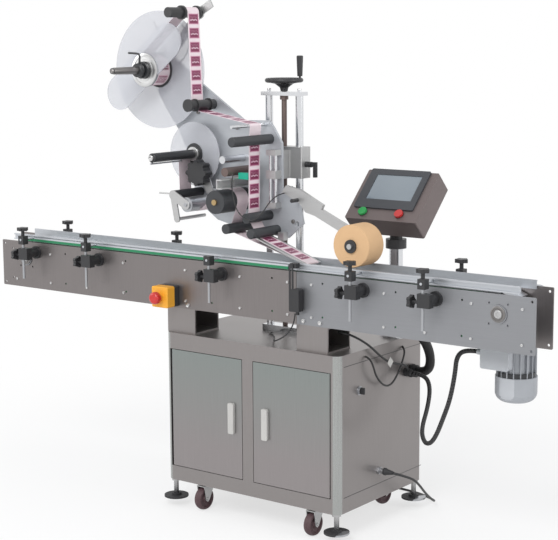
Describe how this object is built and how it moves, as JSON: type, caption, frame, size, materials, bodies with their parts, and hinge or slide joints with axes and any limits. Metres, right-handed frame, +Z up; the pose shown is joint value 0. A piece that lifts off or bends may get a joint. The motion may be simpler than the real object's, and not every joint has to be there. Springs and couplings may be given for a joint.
{
  "type": "flat labeling machine",
  "caption": "Free-standing machine that carries flat products on a slat conveyor under a height-adjustable label head, with an operator panel and a wheeled cabinet",
  "frame": {"origin": "centre of the bounding box of the machine without its free mains cord, on the floor under the caster wheels", "axes": "+X along the conveyor in its direction of travel, +Y from the operator's side to the back, +Z up"},
  "size_m": [2.1, 0.863, 1.6469],
  "materials": {
    "black_plastic": "textured",
    "caster_rubber": "matte",
    "caster_zinc": "zinc plated",
    "chain_steel": "polished",
    "chrome_rod": "polished",
    "cord_black": "matte",
    "estop_orange": "satin",
    "estop_red": "gloss",
    "gear_blue": "satin",
    "green_button": "gloss",
    "hose_grey": "matte",
    "label_paper": "paper",
    "machined": "satin",
    "motor_paint": "satin",
    "nylon": "satin",
    "panel_paint": "satin",
    "rail": "satin",
    "red_button": "gloss",
    "roller_rubber": "matte",
    "screw_steel": "oiled",
    "sponge": "foam",
    "stainless": "fine brushed",
    "zinc_plate": "zinc plated"
  },
  "bodies": {
    "frame": {"cabinet_shell": "stainless", "control_gear": "gear_blue", "conveyor_brackets": "stainless", "side_plates_front": "zinc_plate", "side_plate_rear": "zinc_plate", "chain_supports": "nylon", "slat_chain": "chain_steel", "end_bearings": "stainless", "gear_motor": "motor_paint", "rail_clamps": "black_plastic", "estop_box": "estop_orange", "product_sensor": "black_plastic", "hmi_post": "chrome_rod", "guide_columns": "chrome_rod", "floor_fittings": "stainless", "mains_cord": "cord_black", "mains_cord_coil": "cord_black", "mains_plug": "cord_black", "motor_cable": "cord_black", "control_hose": "hose_grey"},
    "door_l": {"door_left": "stainless"},
    "door_r": {"door_right": "stainless"},
    "drive": {"drive_sprocket": "chain_steel"},
    "idler": {"idler_sprocket": "chain_steel"},
    "rail_f": {"guide_rail_front": "rail"},
    "rail_r": {"guide_rail_rear": "rail"},
    "estop": {"estop_button": "estop_red"},
    "panel": {"hmi_housing": "panel_paint"},
    "start": {"start_button": "green_button"},
    "stop": {"stop_button": "red_button"},
    "wheel_and_screw": {"lead_screw": "screw_steel", "handwheel": "black_plastic"},
    "grip": {"handwheel_grip": "black_plastic"},
    "swivel_left": {"caster_fork_left": "caster_zinc"},
    "wheel_front_left": {"caster_wheel_front_left": "caster_rubber"},
    "wheel_rear_left": {"caster_wheel_rear_left": "caster_rubber"},
    "swivel_right": {"caster_fork_right": "caster_zinc"},
    "wheel_front_right": {"caster_wheel_front_right": "caster_rubber"},
    "wheel_rear_right": {"caster_wheel_rear_right": "caster_rubber"},
    "carriage": {"carriage": "machined", "head_plate": "zinc_plate", "unwind_arm": "machined", "head_bars": "machined", "peel_plate": "machined", "label_sensor": "machined", "label_web": "label_paper", "feed_drive": "black_plastic"},
    "clamp_lever": {"carriage_lever": "black_plastic"},
    "reel": {"reel_spindle": "machined", "label_roll": "label_paper"},
    "top_roller_body": {"top_roller": "black_plastic"},
    "mid_roller_body": {"mid_roller": "black_plastic"},
    "entry_roller_body": {"entry_roller": "roller_rubber"},
    "peel_roller_body": {"peel_roller": "roller_rubber"},
    "traction_roller_body": {"traction_roller": "roller_rubber"},
    "nip_roller_body": {"nip_roller": "chain_steel"},
    "rewind": {"rewind_spindle": "roller_rubber"},
    "knob": {"tension_knob": "black_plastic"},
    "arm": {"press_arm": "machined"},
    "sponge": {"sponge_roller": "sponge"}
  },
  "joints": [
    {"name": "door_left_hinge", "type": "hinge", "parent": "frame", "child": "door_l", "pos_m": [-0.246, -0.183, 0.334], "axis": [0, 0, -1], "range_deg": [0, 95]},
    {"name": "door_right_hinge", "type": "hinge", "parent": "frame", "child": "door_r", "pos_m": [0.37, -0.183, 0.334], "axis": [0, 0, 1], "range_deg": [0, 95]},
    {"name": "drive_turn", "type": "hinge", "parent": "frame", "child": "drive", "pos_m": [0.936, -0.121, 0.76872], "axis": [0, 1, 0], "continuous": true},
    {"name": "idler_turn", "type": "hinge", "parent": "frame", "child": "idler", "pos_m": [-0.9309, -0.121, 0.76872], "axis": [0, 1, 0], "continuous": true},
    {"name": "front_rail_reach", "type": "slide", "parent": "frame", "child": "rail_f", "axis": [0, 1, 0], "range_m": [0, 0.0045]},
    {"name": "rear_rail_reach", "type": "slide", "parent": "frame", "child": "rail_r", "axis": [0, -1, 0], "range_m": [0, 0.0045]},
    {"name": "estop_press", "type": "slide", "parent": "frame", "child": "estop", "axis": [0, 1, 0], "range_m": [0, 0.005], "stiffness_N_per_m": 600},
    {"name": "panel_swivel", "type": "hinge", "parent": "frame", "child": "panel", "pos_m": [0.371, 0.185, 0.88], "axis": [0, 0, 1], "range_deg": [-60, 60]},
    {"name": "start_press", "type": "slide", "parent": "panel", "child": "start", "axis": [0, 0.7071, -0.7071], "range_m": [0, 0.0025], "stiffness_N_per_m": 300},
    {"name": "stop_press", "type": "slide", "parent": "panel", "child": "stop", "axis": [0, 0.7071, -0.7071], "range_m": [0, 0.0025], "stiffness_N_per_m": 300},
    {"name": "handwheel_turn", "type": "hinge", "parent": "frame", "child": "wheel_and_screw", "pos_m": [0.04, 0.04, 1.38], "axis": [0, 0, 1], "range_deg": [0, 10095]},
    {"name": "grip_turn", "type": "hinge", "parent": "wheel_and_screw", "child": "grip", "pos_m": [0.07993, 0.07009, 1.43], "axis": [0, 0, 1], "continuous": true},
    {"name": "caster_swivel_left", "type": "hinge", "parent": "frame", "child": "swivel_left", "pos_m": [-0.145, -0.144, 0.084], "axis": [0, 0, 1], "continuous": true},
    {"name": "wheel_front_left_turn", "type": "hinge", "parent": "swivel_left", "child": "wheel_front_left", "pos_m": [-0.145, -0.162, 0.0375], "axis": [1, 0, 0], "continuous": true},
    {"name": "wheel_rear_left_turn", "type": "hinge", "parent": "frame", "child": "wheel_rear_left", "pos_m": [-0.145, 0.233, 0.0375], "axis": [1, 0, 0], "continuous": true},
    {"name": "caster_swivel_right", "type": "hinge", "parent": "frame", "child": "swivel_right", "pos_m": [0.295, -0.144, 0.084], "axis": [0, 0, 1], "continuous": true},
    {"name": "wheel_front_right_turn", "type": "hinge", "parent": "swivel_right", "child": "wheel_front_right", "pos_m": [0.295, -0.162, 0.0375], "axis": [1, 0, 0], "continuous": true},
    {"name": "wheel_rear_right_turn", "type": "hinge", "parent": "frame", "child": "wheel_rear_right", "pos_m": [0.295, 0.233, 0.0375], "axis": [1, 0, 0], "continuous": true},
    {"name": "head_height", "type": "slide", "parent": "frame", "child": "carriage", "axis": [0, 0, 1], "range_m": [0, 0.14]},
    {"name": "clamp_lever_turn", "type": "hinge", "parent": "carriage", "child": "clamp_lever", "pos_m": [0.125, 0.04, 1.13], "axis": [1, 0, 0], "range_deg": [-60, 30]},
    {"name": "reel_turn", "type": "hinge", "parent": "carriage", "child": "reel", "pos_m": [-0.374, -0.121, 1.425], "axis": [0, -1, 0], "continuous": true},
    {"name": "top_roller_turn", "type": "hinge", "parent": "carriage", "child": "top_roller_body", "pos_m": [-0.21301, -0.125, 1.60601], "axis": [0, -1, 0], "continuous": true},
    {"name": "mid_roller_turn", "type": "hinge", "parent": "carriage", "child": "mid_roller_body", "pos_m": [-0.167, -0.125, 1.317], "axis": [0, -1, 0], "continuous": true},
    {"name": "entry_roller_turn", "type": "hinge", "parent": "carriage", "child": "entry_roller_body", "pos_m": [0.061, -0.125, 1.214], "axis": [0, -1, 0], "continuous": true},
    {"name": "peel_roller_turn", "type": "hinge", "parent": "carriage", "child": "peel_roller_body", "pos_m": [0.086, -0.125, 0.93], "axis": [0, -1, 0], "continuous": true},
    {"name": "traction_roller_turn", "type": "hinge", "parent": "carriage", "child": "traction_roller_body", "pos_m": [-0.04, -0.125, 1.022], "axis": [0, -1, 0], "continuous": true},
    {"name": "nip_roller_turn", "type": "hinge", "parent": "carriage", "child": "nip_roller_body", "pos_m": [-0.171, -0.125, 1.005], "axis": [0, -1, 0], "continuous": true},
    {"name": "rewind_turn", "type": "hinge", "parent": "carriage", "child": "rewind", "pos_m": [-0.228, -0.125, 1.157], "axis": [0, -1, 0], "continuous": true},
    {"name": "tension_knob_turn", "type": "hinge", "parent": "carriage", "child": "knob", "pos_m": [-0.185, -0.115, 1.1], "axis": [0, -1, 0], "continuous": true},
    {"name": "press_arm_swing", "type": "hinge", "parent": "carriage", "child": "arm", "pos_m": [0.142, -0.071, 1.052], "axis": [0, -1, 0], "range_deg": [0, 25]},
    {"name": "sponge_turn", "type": "hinge", "parent": "arm", "child": "sponge", "pos_m": [0.434, -0.121, 0.916], "axis": [0, -1, 0], "continuous": true}
  ],
  "couplings": [
    {"joint": "idler_turn", "follows": "drive_turn", "ratio": 1},
    {"joint": "handwheel_turn", "follows": "head_height", "rad_per_m": 1256.6}
  ]
}
